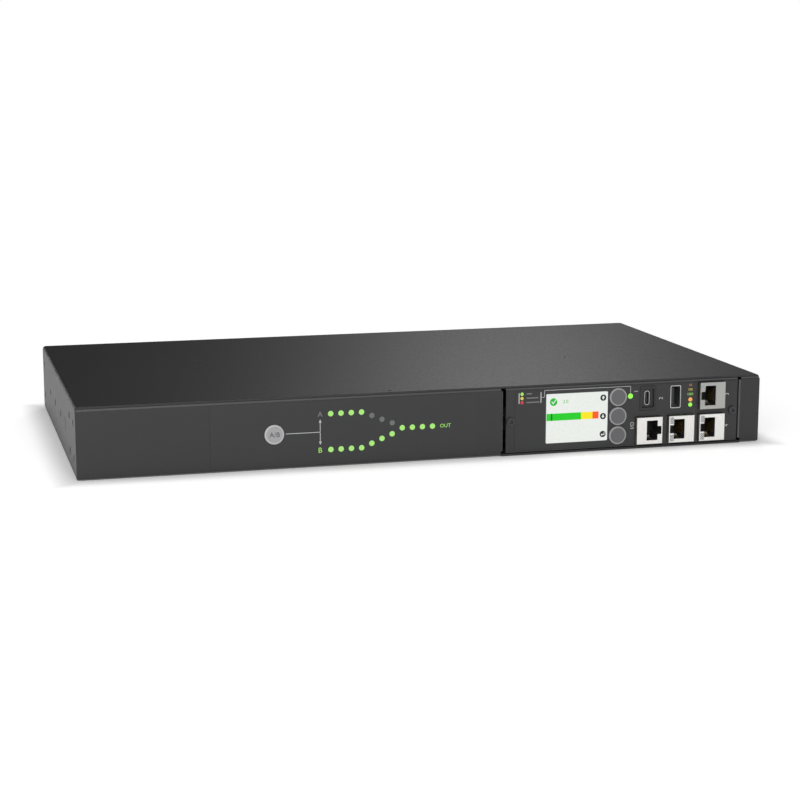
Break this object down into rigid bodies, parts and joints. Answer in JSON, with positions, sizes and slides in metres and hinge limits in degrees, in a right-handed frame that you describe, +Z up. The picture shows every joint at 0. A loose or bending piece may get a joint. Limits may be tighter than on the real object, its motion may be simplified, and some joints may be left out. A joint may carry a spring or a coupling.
{
  "type": "rack automatic transfer switch",
  "caption": "One-unit rack transfer switch in a folded black steel body, with a mimic panel of lamps, a display module with network jacks, and banks of rear outlets.",
  "frame": {"origin": "on the underside, at the middle of the body's width and depth", "axes": "+X to the right when the front panel is looked at, +Y from the front panel to the rear, +Z up"},
  "size_m": [0.432, 0.2454, 0.0435],
  "materials": {
    "black_coat": "fine textured powder coat, matt black",
    "panel_film": "printed film, satin",
    "zinc": "zinc plated, satin",
    "black_screw": "black oxide, slight sheen",
    "circuit_board": "solder mask, satin",
    "lamp_body": "moulded, matt",
    "lit_green": "lit clear guide",
    "lit_orange": "lit clear guide",
    "dark_lens": "unlit clear guide",
    "key_light": "moulded, satin",
    "key_grey": "moulded, satin",
    "black_plastic": "moulded, fine grain",
    "screen": "lit display under clear cover",
    "screen_frame": "tinned sheet",
    "white_plastic": "moulded, matt",
    "jack_shield": "nickel plated, satin",
    "gold": "gold plated",
    "copper": "bare copper alloy",
    "insulation": "clear sheet, satin",
    "iron": "varnished laminations",
    "winding": "tape over copper wire",
    "capacitor_sleeve": "shrink sleeve",
    "film_yellow": "moulded, matt",
    "ferrite": "coated core",
    "ribbon": "flat cable with moulded plugs"
  },
  "bodies": {
    "chassis": {"base_chassis": "black_coat", "top_cover": "black_coat", "cover_screws": "black_screw", "cover_posts": "zinc", "locating_tabs": "zinc", "panel_film": "panel_film", "indicator_board": "circuit_board", "panel_pillars": "zinc", "board_leds": "lamp_body", "path_a_lit_lenses": "lit_green", "path_a_dark_lenses": "dark_lens", "path_b_lenses": "lit_green", "output_lenses": "lit_green", "tact_switches": "black_plastic", "module_faceplate": "black_coat", "module_film": "panel_film", "module_board": "circuit_board", "module_screws": "black_screw", "display_glass": "screen", "display_panel": "screen_frame", "display_carrier": "white_plastic", "green_lenses": "lit_green", "speed_lens": "lit_orange", "network_jack": "jack_shield", "serial_jack": "jack_shield", "chain_in_jack": "jack_shield", "chain_out_jack": "jack_shield", "jack_inserts": "black_plastic", "jack_contacts": "gold", "console_bezel": "black_plastic", "console_shell": "zinc", "data_shell": "zinc", "socket_tongues": "black_plastic", "power_board": "circuit_board", "board_standoffs": "zinc", "insulation_sheet": "insulation", "outlet_bank_left": "black_plastic", "outlet_bank_middle": "black_plastic", "outlet_bank_right": "black_plastic", "connector_terminals": "copper", "source_a_inlet": "black_plastic", "source_b_inlet": "black_plastic", "inlet_pins": "zinc", "earth_stud": "zinc", "transfer_relays": "white_plastic", "transformer_cores": "iron", "transformer_coils": "winding", "bulk_capacitors": "capacitor_sleeve", "film_capacitors": "film_yellow", "current_sensors": "ferrite", "ribbon_cables": "ribbon"},
    "preference_button": {"preference_key": "key_light", "preference_plunger": "white_plastic"},
    "up_button": {"up_key": "key_grey", "up_plunger": "white_plastic"},
    "down_button": {"down_key": "key_grey", "down_plunger": "white_plastic"},
    "select_button": {"select_key": "key_grey", "select_plunger": "white_plastic"}
  },
  "joints": [
    {"name": "preference_press", "type": "slide", "parent": "chassis", "child": "preference_button", "axis": [0, 1, 0], "range_m": [0, 0.0007], "stiffness_N_per_m": 2500},
    {"name": "up_press", "type": "slide", "parent": "chassis", "child": "up_button", "axis": [0, 1, 0], "range_m": [0, 0.0007], "stiffness_N_per_m": 2500},
    {"name": "down_press", "type": "slide", "parent": "chassis", "child": "down_button", "axis": [0, 1, 0], "range_m": [0, 0.0007], "stiffness_N_per_m": 2500},
    {"name": "select_press", "type": "slide", "parent": "chassis", "child": "select_button", "axis": [0, 1, 0], "range_m": [0, 0.0007], "stiffness_N_per_m": 2500}
  ]
}
